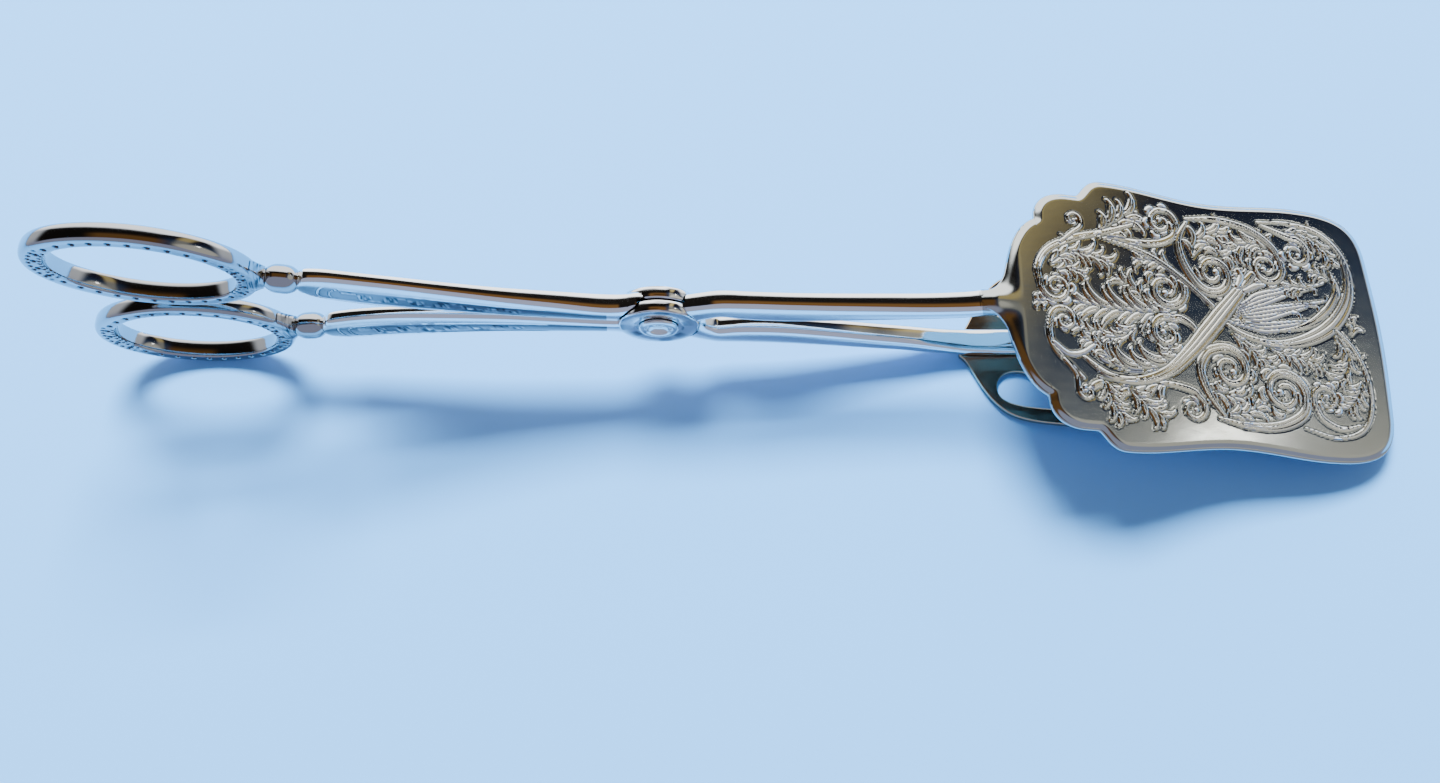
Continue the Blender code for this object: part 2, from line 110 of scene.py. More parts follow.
class Relief:
    """Height map over a flat panel, in mm, laid down as crowned strokes one over the other."""

    VALLEY = 0.12  # share of a band's height that is left between its ridges

    def __init__(self, x_range, y_range, cell=0.08):
        self.x0, self.y0, self.cell = x_range[0], y_range[0], cell
        self.xs = np.arange(x_range[0], x_range[1] + cell, cell)
        self.ys = np.arange(y_range[0], y_range[1] + cell, cell)
        self.height = np.zeros((len(self.xs), len(self.ys)))

    def cells(self, points, margin, low, high):
        """First and last index of the cells within a margin of some points, along x and along y."""
        box = []
        for axis, origin in enumerate((self.x0, self.y0)):
            first = int((points[:, axis].min() - margin - origin) / self.cell)
            last = int((points[:, axis].max() + margin - origin) / self.cell) + 2
            box += [max(first, low[axis]), min(last, high[axis])]
        return box

    def stroke(self, path, widths, height, groove, depth, ridges=1):
        """Crowned band along a path, with a groove on both sides.

        Widths are half widths at even steps along the path."""
        path = np.asarray(path, float)
        run = np.concatenate([[0], np.cumsum(np.hypot(*np.diff(path, axis=0).T))])
        run /= max(run[-1], 1e-9)
        half = np.interp(run, np.linspace(0, 1, len(widths)), widths)
        far_off = 9.0
        margin = half.max() + groove + self.cell
        i0, i1, j0, j1 = self.cells(path, margin, (0, 0), self.height.shape)
        if i1 <= i0 or j1 <= j0:
            return
        best = np.full((i1 - i0, j1 - j0), far_off)
        side = np.zeros_like(best)
        gap = np.full_like(best, far_off)
        for k in range(len(path) - 1):
            a, b = path[k], path[k + 1]
            reach = max(half[k], half[k + 1]) + groove + self.cell
            u0, u1, v0, v1 = self.cells(path[k:k + 2], reach, (i0, j0), (i1, j1))
            if u1 <= u0 or v1 <= v0:
                continue
            gx, gy = self.xs[u0:u1, None] - a[0], self.ys[None, v0:v1] - a[1]
            d = b - a
            length = max(np.hypot(*d), 1e-9)
            t = np.clip((gx * d[0] + gy * d[1]) / length ** 2, 0, 1)
            away = np.hypot(gx - t * d[0], gy - t * d[1])
            cross = (d[0] * gy - d[1] * gx) / length
            local = half[k] + (half[k + 1] - half[k]) * t
            share = away / np.maximum(local, 0.02)
            window = (slice(u0 - i0, u1 - i0), slice(v0 - j0, v1 - j0))
            closer = share < best[window]
            best[window] = np.where(closer, share, best[window])
            side[window] = np.where(closer, np.sign(cross) * share, side[window])
            gap[window] = np.minimum(gap[window], away - local)
        target = self.height[i0:i1, j0:j1]
        crown = np.sqrt(np.clip(1 - best ** 2, 0, 1))
        if ridges > 1:
            wave = 0.5 - 0.5 * np.cos(math.pi * ridges * (side + 1))
            crown = crown * (self.VALLEY + (1 - self.VALLEY) * wave)
        edge = (gap > 0) & (gap < groove)
        target[edge] = np.minimum(target[edge], -depth * np.sin(math.pi * gap[edge] / groove))
        inside = best < 1
        target[inside] = height * crown[inside]

    def comma(self, root, heading, bend, length, half, **looks):
        """Short lobe that leaves its root at a heading, in degrees, and bends on the way to its tip."""
        bends = [np.array(root)]
        for step, share in ((0.3, 0.0), (0.3, 0.4), (0.25, 0.9), (0.15, 1.5)):
            bends.append(bends[-1] + step * length * heading_vector(heading + share * bend))
        self.stroke(catmull(bends, 5), [0.3 * half, 0.8 * half, half, 0.9 * half, 0.2 * half],
                    ridges=2 if half > 0.45 else 1, **looks)

    def scroll(self, centre, radius, start, turns, hand, lead, **looks):
        """Ridged band that winds in to a small eye, with a lead-in through the given points.

        Lobes lean inwards all round it, and larger ones have some on their outer side too."""
        t = np.linspace(0, 1, int(34 * turns) + 6)
        angle = math.radians(start) + hand * math.tau * turns * t
        r = radius * (1 - 0.80 * t ** 0.9)
        spiral = np.column_stack([centre[0] + r * np.cos(angle), centre[1] + r * np.sin(angle)])
        spiral = np.vstack([catmull(list(lead) + [spiral[0], spiral[3]], 8)[:-8], spiral[1:]])

        def lobe(turn, share, lean, bend, length, half):
            root = np.array(centre) + share * radius * heading_vector(turn)
            self.comma(root, turn + hand * lean, hand * bend, length * radius, half * radius, **looks)

        for k in range(4):
            if radius > 2.7:
                lobe(start + hand * (60 + 55 * k), 0.95, 60, 90, 0.75, 0.15)
            lobe(start + hand * (150 + 58 * k), 0.80, 120, 70, 0.72, 0.13)
        size = 0.22 * radius
        widths = [0.25, 0.8 * size, size, 0.95 * size, 0.75 * size, 0.5 * size, 0.4 * size]
        self.stroke(spiral, widths, ridges=3 if radius > 2.4 else 2, **looks)
        eye = [spiral[-1], spiral[-1] + 1e-3]
        self.stroke(eye, [0.10 * radius + 0.12], **looks)

    def leaf(self, spine, lobes, reach, spread, sides, width, **looks):
        """Long lobes run beside a spine, peel off outwards and hook at their tips.

        The ones nearest its root lie on top."""
        spine = catmull(spine, 24)
        last = len(spine) - 1
        tail = int(0.35 * last)
        way = unit_rows(np.gradient(spine, axis=0))
        square = np.column_stack([-way[:, 1], way[:, 0]])
        self.stroke(spine, [0.5 * width, 0.6 * width, 0.55 * width, 0.15], **looks)
        for i in reversed(range(lobes)):
            share = (i + 0.7) / lobes * 0.92
            k = min(int(share * last), last - 1)
            back = max(k - tail, 0)
            heading = math.degrees(math.atan2(way[k][1], way[k][0]))
            length = reach * math.sin(math.pi * (0.24 + 0.56 * share)) ** 0.7
            for s in sides:
                size = 1.0 - 0.22 * ((i + (s > 0)) % 2)
                beside = np.linspace(0.15, 0.8, 4)[:, None] * width * s
                rows = np.linspace(back, k, 4).astype(int)
                bends = list(spine[rows] + beside * square[rows])
                for step, turn in ((0.22, 0.35), (0.26, 0.85), (0.24, 1.3), (0.16, 1.8), (0.10, 2.6)):
                    way_out = heading_vector(heading + s * turn * spread)
                    bends.append(bends[-1] + step * size * length * way_out)
                half = width * (0.75 + 0.25 * size)
                widths = [0.08, 0.25 * half, 0.5 * half, 0.85 * half, half, 0.9 * half, 0.5 * half, 0.15]
                ridges = 3 if half > 0.72 else 2 if half > 0.4 else 1
                self.stroke(catmull(bends, 5), widths, ridges=ridges, **looks)

    def sample(self, x, y):
        """Height at given places, between the cells' own values."""
        u = np.clip((np.asarray(x) - self.x0) / self.cell, 0, len(self.xs) - 1.001)
        v = np.clip((np.asarray(y) - self.y0) / self.cell, 0, len(self.ys) - 1.001)
        i, j = u.astype(int), v.astype(int)
        fu, fv = u - i, v - j
        h = self.height
        return (h[i, j] * (1 - fu) * (1 - fv) + h[i + 1, j] * fu * (1 - fv)
                + h[i, j + 1] * (1 - fu) * fv + h[i + 1, j + 1] * fu * fv)


# ---- meshes

def grid_faces(rows, columns, wrap_rows=False, wrap_columns=True):
    """Four-sided faces of a grid whose points are numbered row by row."""
    i = np.arange(rows if wrap_rows else rows - 1)
    j = np.arange(columns if wrap_columns else columns - 1)
    i, j = np.meshgrid(i, j, indexing="ij")
    i2, j2 = (i + 1) % rows, (j + 1) % columns
    corners = [i * columns + j, i * columns + j2, i2 * columns + j2, i2 * columns + j]
    return np.stack(corners, -1).reshape(-1, 4).tolist()


def link_object(name, data):
    """New object in the scene."""
    obj = bpy.data.objects.new(name, data)
    bpy.context.scene.collection.objects.link(obj)
    return obj


def tidy_mesh(mesh, weld=None):
    """Turn all faces outwards, after welding points that are closer than a distance."""
    bm = bmesh.new()
    bm.from_mesh(mesh)
    if weld is not None:
        bmesh.ops.remove_doubles(bm, verts=bm.verts[:], dist=weld)
    bmesh.ops.recalc_face_normals(bm, faces=bm.faces[:])
    bm.to_mesh(mesh)
    bm.free()


def store_relief(mesh, values):
    """Keep a height in mm on every point, for the plate's shader."""
    layer = mesh.attributes.new("relief", "FLOAT", "POINT")
    layer.data.foreach_set("value", np.asarray(values, np.float32))


def make_object(name, points, faces, relief=None):
    """Object from points and faces, with its relief heights where it has some."""
    mesh = bpy.data.meshes.new(name)
    mesh.from_pydata([tuple(p) for p in points], [], faces)
    if relief is not None:
        store_relief(mesh, relief)
    tidy_mesh(mesh)
    return link_object(name, mesh)


def skin(name, rings, closed=False, relief=None):
    """Skin over an array of rings; an open run gets flat caps."""
    rings = np.asarray(rings, float)
    rows, columns = rings.shape[:2]
    faces = grid_faces(rows, columns, wrap_rows=closed)
    if not closed:
        faces += [list(range(columns)), list(range((rows - 1) * columns, rows * columns))]
    return make_object(name, rings.reshape(-1, 3), faces, relief)


def turned(name, profile, axis, points):
    """Turn (distance, radius) pairs, in mm, about an axis through the rivet, in the XZ plane or along Y."""
    axis = Vector(axis).normalized()
    across = Vector((1, 0, 0)) if abs(axis.y) > 0.5 else Vector((0, 1, 0))
    third = axis.cross(across)
    a = np.linspace(0, math.tau, points, endpoint=False)
    circle = np.outer(np.cos(a), across) + np.outer(np.sin(a), third)
    rings = [np.array(PIVOT) + MM * (along * np.array(axis) + radius * circle) for along, radius in profile]
    return skin(name, rings)


def evaluated_mesh(obj):
    """Mesh of an object with its modifiers or curve settings applied."""
    bpy.context.view_layer.update()
    evaluated = obj.evaluated_get(bpy.context.evaluated_depsgraph_get())
    return bpy.data.meshes.new_from_object(evaluated)


def combine(target, other, operation, own_crossings=False):
    """Boolean that is applied at once; the other object is used up."""
    modifier = target.modifiers.new("cut", "BOOLEAN")
    modifier.operation, modifier.object, modifier.solver = operation, other, "EXACT"
    modifier.use_self = own_crossings
    mesh = evaluated_mesh(target)
    target.modifiers.clear()
    target.data = mesh
    bpy.data.objects.remove(other)


def finish_piece(obj, material, body, node, sharp=40):
    """Give a piece its material, its sharp edges past an angle in degrees, and its place in the frame."""
    obj.data.materials.clear()
    obj.data.materials.append(material)
    obj.data.shade_smooth()
    obj.data.set_sharp_from_angle(angle=math.radians(sharp))
    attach(obj, body)
    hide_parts(node)
    return obj


# ---- materials

# Relief in mm over which a groove's dark gives way to the plate's own colour
GROOVE_SHADE = (-0.08, 0.10)
# Relief in mm over which raised bands get duller, and by how much
BAND_SHEEN, BAND_DULLNESS = (0.11, 0.20), 0.24


def nodes_of(material):
    """Node tree of a material, as its nodes and links."""
    material.use_nodes = True
    return material.node_tree.nodes, material.node_tree.links


def noise(nodes, links, place, scale, detail, roughness=0.5):
    """Cloudy value from 0 to 1."""
    cloud = nodes.new("ShaderNodeTexNoise")
    for socket, value in (("Scale", scale), ("Detail", detail), ("Roughness", roughness)):
        cloud.inputs[socket].default_value = value
    links.new(place, cloud.inputs["Vector"])
    return cloud.outputs["Fac"]


def map_range(nodes, links, source, low, high, new_low=0.0, new_high=1.0):
    """Value carried over from one range to another, and held at its ends."""
    span = nodes.new("ShaderNodeMapRange")
    for socket, value in (("From Min", low), ("From Max", high), ("To Min", new_low), ("To Max", new_high)):
        span.inputs[socket].default_value = value
    links.new(source, span.inputs["Value"])
    return span.outputs["Result"]


def silver_plate(name, colour, warm, stain, roughness, groove_colour=None):
    """Mirror-bright plate with a faint warm stain, fine wiping marks and, where asked, dark grooves."""
    material = bpy.data.materials.new(name)
    nodes, links = nodes_of(material)
    shader = nodes["Principled BSDF"]
    shader.inputs["Metallic"].default_value = 1.0
    place = nodes.new("ShaderNodeTexCoord").outputs["Object"]
    ramp = nodes.new("ShaderNodeValToRGB")
    clean, stained = ramp.color_ramp.elements
    clean.position, stained.position = 0.38, 0.72
    clean.color = (*colour, 1)
    stained.color = (*[c + (w - c) * stain for c, w in zip(colour, warm)], 1)
    links.new(noise(nodes, links, place, 38.0, 5.0, 0.6), ramp.inputs["Fac"])
    stretch = nodes.new("ShaderNodeMapping")
    stretch.inputs["Scale"].default_value = (0.35, 1.0, 1.0)
    links.new(place, stretch.inputs["Vector"])
    wipe = noise(nodes, links, stretch.outputs["Vector"], 420.0, 3.0)
    colour_out = ramp.outputs["Color"]
    rough_out = map_range(nodes, links, wipe, 0.0, 1.0, roughness * 0.7, roughness * 1.5)
    if groove_colour is not None:
        height = nodes.new("ShaderNodeAttribute")
        height.attribute_name = "relief"
        mix = nodes.new("ShaderNodeMix")
        mix.data_type = "RGBA"
        mix.inputs["A"].default_value = (*groove_colour, 1)
        links.new(map_range(nodes, links, height.outputs["Fac"], *GROOVE_SHADE), mix.inputs["Factor"])
        links.new(colour_out, mix.inputs["B"])
        colour_out = mix.outputs["Result"]
        dulled = nodes.new("ShaderNodeMath")
        links.new(rough_out, dulled.inputs[0])
        links.new(map_range(nodes, links, height.outputs["Fac"], *BAND_SHEEN, 0.0, BAND_DULLNESS),
                  dulled.inputs[1])
        rough_out = dulled.outputs["Value"]
    links.new(colour_out, shader.inputs["Base Color"])
    links.new(rough_out, shader.inputs["Roughness"])
    bump = nodes.new("ShaderNodeBump")
    bump.inputs["Strength"].default_value = 0.04
    bump.inputs["Distance"].default_value = 0.0002
    links.new(wipe, bump.inputs["Height"])
    links.new(bump.outputs["Normal"], shader.inputs["Normal"])
    return material


bright_plate = silver_plate("bright_plate", (0.88, 0.88, 0.88), (0.80, 0.70, 0.52), 0.3, 0.07,
                            groove_colour=(0.06, 0.06, 0.07))
blade_plate = silver_plate("blade_plate", (0.80, 0.81, 0.79), (0.74, 0.66, 0.46), 0.5, 0.10,
                           groove_colour=(0.22, 0.25, 0.26))
# its groove colour is painted shade for the pierced head's flat faces, which lie under the blade
head_plate = silver_plate("head_plate", (0.58, 0.46, 0.32), (0.52, 0.36, 0.20), 0.6, 0.16,
                          groove_colour=(0.20, 0.14, 0.09))
rivet_plate = silver_plate("rivet_plate", (0.80, 0.80, 0.80), (0.70, 0.64, 0.52), 0.4, 0.14)


# ---- places on the tongs

def lie(x, z):
    """From the tongs' own centre line, in mm from the rivet, to the lie on the table in metres."""
    return (PIVOT.x + MM * (x * math.cos(LIE_ANGLE) + z * math.sin(LIE_ANGLE)),
            PIVOT.z + MM * (-x * math.sin(LIE_ANGLE) + z * math.cos(LIE_ANGLE)))


def on_handle(side, along, outward=0.0):
    """Place on a handle, from the rivet along its axis and square to it, away from the other handle."""
    x = -along * math.cos(HANDLE_ANGLE) + outward * math.sin(HANDLE_ANGLE)
    z = -along * math.sin(HANDLE_ANGLE) - outward * math.cos(HANDLE_ANGLE)
    return lie(x, side * z)


def handle_axis(side):
    """Direction of a handle, from the rivet towards its ring."""
    x, z = on_handle(side, 1000.0)
    return Vector((x - PIVOT.x, 0, z - PIVOT.z)).normalized()


# ---- finger rings

RING_CENTRE, HOLE_LENGTH, HOLE_HEIGHT = 85.0, 14.5, 9.8
BAND_KNOP, BAND_END, BAND_SIDE, RING_DEPTH = 3.4, 3.8, 2.55, 1.65
RING_SQUARENESS = 2.4
# Punched dots: share of the band, number round the ring, radius, and whether only the ends have them
DOT_ROWS = ((0.36, 30, 0.44, False), (0.15, 72, 0.32, True), (0.58, 68, 0.34, True))
DOT_DEPTH, CHANNEL_DEPTH, CHANNEL_HALF_WIDTH = 0.32, 0.05, 0.55
# Neck between knop and ring: distance from the rivet, half height
RING_NECK = ((66.3, 1.75), (66.9, 2.55), (67.9, 4.0), (68.9, 5.3))
RING_NECK_DEPTH = 1.66


def ring_section():
    """Closed section: (share of the band from the hole outwards, share of the half depth)."""
    outer_start, inner_end = 0.74, 0.09
    face = np.linspace(inner_end, outer_start, 22, endpoint=False)
    a = np.linspace(math.pi / 2, -math.pi / 2, 16, endpoint=False)
    b = np.linspace(-math.pi / 2, -3 * math.pi / 2, 8, endpoint=False)
    outer = np.column_stack([outer_start + (1 - outer_start) * rounded(np.cos(a), RING_SQUARENESS),
                             rounded(np.sin(a), RING_SQUARENESS)])
    inner = np.column_stack([inner_end + inner_end * rounded(np.cos(b), RING_SQUARENESS),
                             rounded(np.sin(b), RING_SQUARENESS)])
    flat = np.ones(len(face))
    return np.vstack([np.column_stack([face, flat]), outer, np.column_stack([face[::-1], -flat]), inner])


def punched(run, total, across, row, count, radius):
    """Row of round dots along a ring, 1 in a dot's middle and 0 away from it."""
    spots = total * (np.arange(count) + 0.5) / count
    along = np.abs((run[:, None] - spots[None, :] + total / 2) % total - total / 2).min(1)
    away = np.hypot(along[:, None], across(row))
    return np.exp(-(away / radius) ** 4)


def finger_ring(name, side, body):
    """Oval ring with dots on both flat faces, and the neck that joins it to its knop."""
    axis = handle_axis(side)
    up = Vector((-axis.z, 0, axis.x))
    a = np.linspace(0, math.tau, 680, endpoint=False)
    ca, sa = np.cos(a), np.sin(a)
    band = BAND_SIDE + (np.where(ca > 0, BAND_END, BAND_KNOP) - BAND_SIDE) * np.abs(ca) ** 3
    hole = np.column_stack([HOLE_LENGTH * ca, HOLE_HEIGHT * sa])
    outward = unit_rows(np.column_stack([ca / HOLE_LENGTH, sa / HOLE_HEIGHT]))
    middle = hole + outward * 0.5 * band[:, None]
    run = np.concatenate([[0], np.cumsum(np.hypot(*np.diff(middle, axis=0).T))])
    total = run[-1] + np.hypot(*(middle[0] - middle[-1]))
    share, depth = ring_section().T

    def across(row):
        return (share[None, :] - row) * band[:, None]

    at_ends = smoothstep(0.86, 0.93, np.abs(ca))[:, None]
    pits = sum(punched(run, total, across, row, count, radius) * (at_ends if only_ends else 1.0)
               for row, count, radius, only_ends in DOT_ROWS)
    channel = np.exp(-(across(DOT_ROWS[0][0]) / CHANNEL_HALF_WIDTH) ** 4)
    on_face = smoothstep(0.9, 1.0, np.abs(depth)) * (share < 0.75)
    sink = (DOT_DEPTH * np.clip(pits, 0, 1) + CHANNEL_DEPTH * channel) * on_face[None, :]
    place = hole[:, None, :] + outward[:, None, :] * (band[:, None] * share[None, :])[..., None]
    y = depth[None, :] * RING_DEPTH - np.sign(depth)[None, :] * sink
    origin = np.array(PIVOT) + np.array(axis) * RING_CENTRE * MM
    points = (origin + place[..., :1] * MM * np.array(axis) + place[..., 1:] * MM * np.array(up)
              + y[..., None] * MM * np.array([0, 1, 0]))
    ring = skin(name + "_look", points, closed=True, relief=-0.4 * sink.reshape(-1))
    t = math.tau * (np.arange(56) + 0.5) / 56
    depthwise = np.outer(RING_NECK_DEPTH * rounded(np.cos(t)), (0, 1, 0))
    neck = [np.array(PIVOT) + MM * (along * np.array(axis) + depthwise
                                    + np.outer(half * rounded(np.sin(t)), up))
            for along, half in catmull(RING_NECK, 6)]
    combine(ring, skin("neck", neck), "UNION")
    return finish_piece(ring, bright_plate, body, name)


# ---- knops and rivet

def knop(name, side, body):
    """Small turned barrel between a ring and its grip."""
    start, end, foot, swell, step = 60.92, 66.3, 1.55, 2.45, 0.1
    t = np.linspace(0, 1, 40)
    belly = foot + (swell - foot) * (1 - np.abs(2 * t - 1) ** 3)
    along = start + step + (end - start - 2 * step) * t
    profile = [(start, foot), *zip(along, belly), (end, foot)]
    obj = turned(name + "_look", profile, handle_axis(side), 72)
    return finish_piece(obj, bright_plate, body, name)


def rivet(name, body):
    """Shank through both bosses, with a rolled and dished head on each side."""
    seat, crown, head, lip, shank = 2.5, 3.12, 3.5, 2.15, 2.1
    roll = np.linspace(0, math.pi, 22)[:-1]
    middle, half = 0.5 * (head + lip), 0.5 * (head - lip)
    outer = [(seat, shank), (seat, head - 0.1)]
    outer += [(seat + (crown - seat) * math.sin(a) ** 0.8, middle + half * math.cos(a)) for a in roll]
    # dish in the head, as depth below the crown and radius
    dish = ((0.62, lip - 0.12), (0.95, lip - 0.35), (1.15, lip - 0.8), (1.2, 0.75), (1.05, 0.45),
            (1.05, 0.02))
    outer += [(crown - deep, radius) for deep, radius in dish]
    profile = [(-x, r) for x, r in reversed(outer)] + [(0, shank)] + outer
    obj = turned(name + "_look", profile, (0, -1, 0), 128)
    return finish_piece(obj, rivet_plate, body, name)


# ---- arms

# Grip: distance from the rivet, offset outwards, half height, half depth
GRIP = ((60.9, 0.0, 1.6, 1.5), (60.3, 0.0, 2.5, 1.6), (59.2, 0.0, 3.3, 1.65), (56.8, -0.3, 3.95, 1.7),
        (51.5, -0.8, 4.3, 1.7), (45.0, -1.0, 4.3, 1.7), (36.0, -0.9, 3.8, 1.75), (27.0, -0.6, 3.3, 1.85),
        (18.0, 0.2, 2.75, 2.0), (11.5, 0.8, 2.3, 2.1), (8.0, 1.35, 2.3, 2.1))
# Stem, along the tongs' own centre line: x and height from the rivet, half height
STEM = ((-5.4, -2.7, 2.85), (-3.0, -2.9, 3.6), (-0.5, -1.6, 4.4), (2.0, 0.6, 4.2), (4.6, 2.6, 3.3),
        (7.6, 4.5, 2.6), (10.8, 5.7, 2.45), (15.3, 5.3, 2.95), (22.1, 5.2, 3.05), (30.6, 5.8, 2.75),
        (38.3, 6.6, 2.4), (45.9, 7.4, 2.1))
# Ends of the two arms, level with the table: x from the rivet, height (the rear one's from the table),
# half height, half depth
FRONT_TAIL = ((53.0, 3.2, 1.9, 2.15), (56.2, 3.85, 1.75, 2.2))
REAR_TAIL = ((51.5, 3.7, 1.85, 2.2), (57.0, 2.95, 1.35, 2.35), (64.0, 2.75, 1.15, 2.4),
             (72.0, 2.45, 0.85, 2.2), (78.5, 2.15, 0.5, 1.6), (80.0, 2.0, 0.3, 1.0))
ARM_DEPTH, BOSS_RADIUS, BOSS_FACE, BOSS_EDGE, BORE, GAP = 2.1, 7.1, 2.45, 0.5, 2.2, 0.3
ENGRAVED_FROM = 9.5


def grip_relief():
    """Engraved panel of a grip: a double border with a round end, and small scrolls inside."""
    panel = Relief((8, 62), (-5, 5), 0.07)
    leaf = catmull([(a, h) for a, _, h, _ in GRIP], 12)
    order = np.argsort(leaf[:, 0])

    def edge(share, start, end):
        along = np.linspace(start, end, 60)
        return np.column_stack([along, share * np.interp(along, leaf[order, 0], leaf[order, 1])])

    # double border
    for share, start, end, width in ((0.70, 13.0, 56.2, 0.16), (0.50, 20.0, 54.4, 0.10)):
        upper, lower = edge(share, start, end), edge(-share, start, end)
        bow = [(end + 1.2, 0.62 * upper[-1, 1]), (end + 1.6, 0), (end + 1.2, -0.62 * upper[-1, 1])]
        panel.stroke(np.vstack([upper, catmull([upper[-1], *bow, lower[-1]], 8), lower[::-1]]),
                     [width], height=0.16, groove=0.14, depth=0.12)
    # scrolls that get smaller towards the boss and face up and down in turn, each with three sprigs
    for k, along in enumerate((50.5, 46.2, 41.9, 37.6, 33.3, 29.2, 25.4)):
        s = 1 if k % 2 else -1
        size = 1.0 - 0.07 * k
        panel.scroll((along, 0.35 * s), 0.95 * size, 200, 1.3, s,
                     [(along + 3.4, -0.9 * s * size), (along + 1.6, -1.1 * s * size)],
                     height=0.15, groove=0.12, depth=0.1)
        for spread in (20, 60, 100):
            root = np.array([along - 0.6, 0.3 * s])
            tip = root + size * heading_vector(180 + s * spread) * [1.7, 1.25]
            panel.stroke([root, tip], [0.08, 0.22, 0.1], height=0.12, groove=0.1, depth=0.08)
    return panel


def boss_profile():
    """Half of a boss with a rounded edge and a shallow groove round the rivet."""
    roll = np.linspace(-math.pi / 2, math.pi / 2, 17)
    middle, half = 0.5 * (BOSS_FACE + GAP / 2), 0.5 * (BOSS_FACE - GAP / 2)
    disc = [(middle + half * math.sin(a), BOSS_RADIUS - BOSS_EDGE + BOSS_EDGE * abs(math.cos(a)) ** 0.45)
            for a in roll]
    return disc + [(BOSS_FACE, 4.6), (BOSS_FACE - 0.12, 4.35), (BOSS_FACE - 0.12, 3.95)]


def arm(name, side, tail, body, engraving):
    """One arm as a single smooth bar, its boss and its half-lap."""
    steps = 24
    grip = [(*on_handle(side, a, o), h * MM, d * MM) for a, o, h, d in GRIP]
    stem = [(*lie(x, side * z), h * MM, ARM_DEPTH * MM) for x, z, h in STEM]
    run_through = catmull(grip + stem + tail, steps)
    split = steps * (len(GRIP) - 1)
    stations = np.vstack([run_through[:split], run_through[split::3]])
    along_grip = np.zeros(len(stations))
    along_grip[:split] = catmull([(a,) for a, *_ in GRIP] + [(-STEM[0][0],)], steps)[:split, 0]
    before = np.vstack([stations[:1], stations[:-1]])
    after = np.vstack([stations[1:], stations[-1:]])
    run = unit_rows((after - before)[:, :2])
    up = np.column_stack([-run[:, 1], run[:, 0]])
    half_z, half_y = stations[:, 2, None], stations[:, 3, None]
    t = math.tau * (np.arange(88) + 0.5) / 88
    across_y, across_z = rounded(np.cos(t)), rounded(np.sin(t))
    off_axis = half_z * across_z
    height = engraving.sample(np.broadcast_to(along_grip[:, None], off_axis.shape), off_axis / MM)
    on_panel = smoothstep(0.93, 0.99, np.abs(across_y))[None, :] * (along_grip[:, None] > ENGRAVED_FROM)
    x = stations[:, 0, None] + up[:, 0, None] * off_axis
    z = stations[:, 1, None] + up[:, 1, None] * off_axis
    y = half_y * across_y + np.sign(across_y)[None, :] * 0.8 * height * on_panel * MM
    shade = (height - 0.03) * on_panel + GROOVE_SHADE[1] * (1 - on_panel)
    obj = skin(name + "_look", np.stack([x, y, z], -1), relief=shade.reshape(-1))
    face = (0, -side, 0)
    combine(obj, turned("boss", boss_profile(), face, 160), "UNION", own_crossings=True)
    lap = [(-2 * BOSS_FACE, BOSS_RADIUS + GAP), (GAP / 2, BOSS_RADIUS + GAP)]
    combine(obj, turned("lap", lap, face, 160), "DIFFERENCE")
    bore = [(-BOSS_FACE, BORE), (2 * BOSS_FACE, BORE)]
    combine(obj, turned("bore", bore, face, 96), "DIFFERENCE")
    return finish_piece(obj, bright_plate, body, name, sharp=32)


# ---- heads

# The blade's own plane starts here, from the rivet
NECK_X, NECK_TOP = 59.05, 5.5
# One side of the blade, from its neck to the middle of its far end, and that end's corner
BLADE_SIDE = (
    ((-3.0, 1.5), (-1.6, 1.6), (0.6, 2.4), (1.5, 5.2)),
    ((1.5, 5.2), (2.4, 8.2), (3.4, 14.6), (8.0, 16.6)),
    ((8.0, 16.6), (8.1, 17.9)),
    ((8.1, 17.9), (8.6, 20.6), (10.9, 22.1), (14.2, 22.2)),
    ((14.2, 22.2), (16.6, 22.2)),
    ((16.6, 22.2), (17.8, 22.6), (18.4, 25.4), (21.5, 25.6)),
    ((21.5, 25.6), (28.5, 25.8), (35.5, 23.7), (43.0, 23.7)),
    ((43.0, 23.7), (50.0, 23.7), (55.5, 24.9), (61.5, 24.8)),
    ((61.5, 24.8), (71.2, 24.8), (75.0, 22.4), (75.6, 15.0)),
    ((75.6, 15.0), (76.0, 10.0), (76.4, 5.0), (76.4, 0.0)))
CORNER = (72.0, 22.7)
ROLL_DEPTH, ROLL_WIDTH, DISH_DEPTH, CROWN_DEPTH, NECK_BEND = 0.5, 1.5, 0.21, 0.9, 0.077
# Rim under the top edge: how far inside the outline, and how deep
RIM_STEPS = ((-0.10, 0.72), (-0.12, 0.95), (-0.06, 1.2), (0.08, 1.42), (0.35, 1.5))
# Neck that fills the corner between arm and blade: x and height from the rivet, half height,
# half depth, squareness
TANG = ((55.6, 3.73, 1.76, 2.12, 3.2), (56.2, 3.85, 1.735, 2.185, 3.2), (57.6, 3.95, 1.66, 2.25, 2.7),
        (59.0, 3.88, 1.56, 2.35, 2.3), (61.0, 3.66, 1.25, 2.5, 2.1), (64.0, 3.1, 0.95, 2.6, 2.0),
        (67.0, 2.4, 0.65, 2.0, 2.0), (69.0, 1.95, 0.5, 1.3, 2.0))


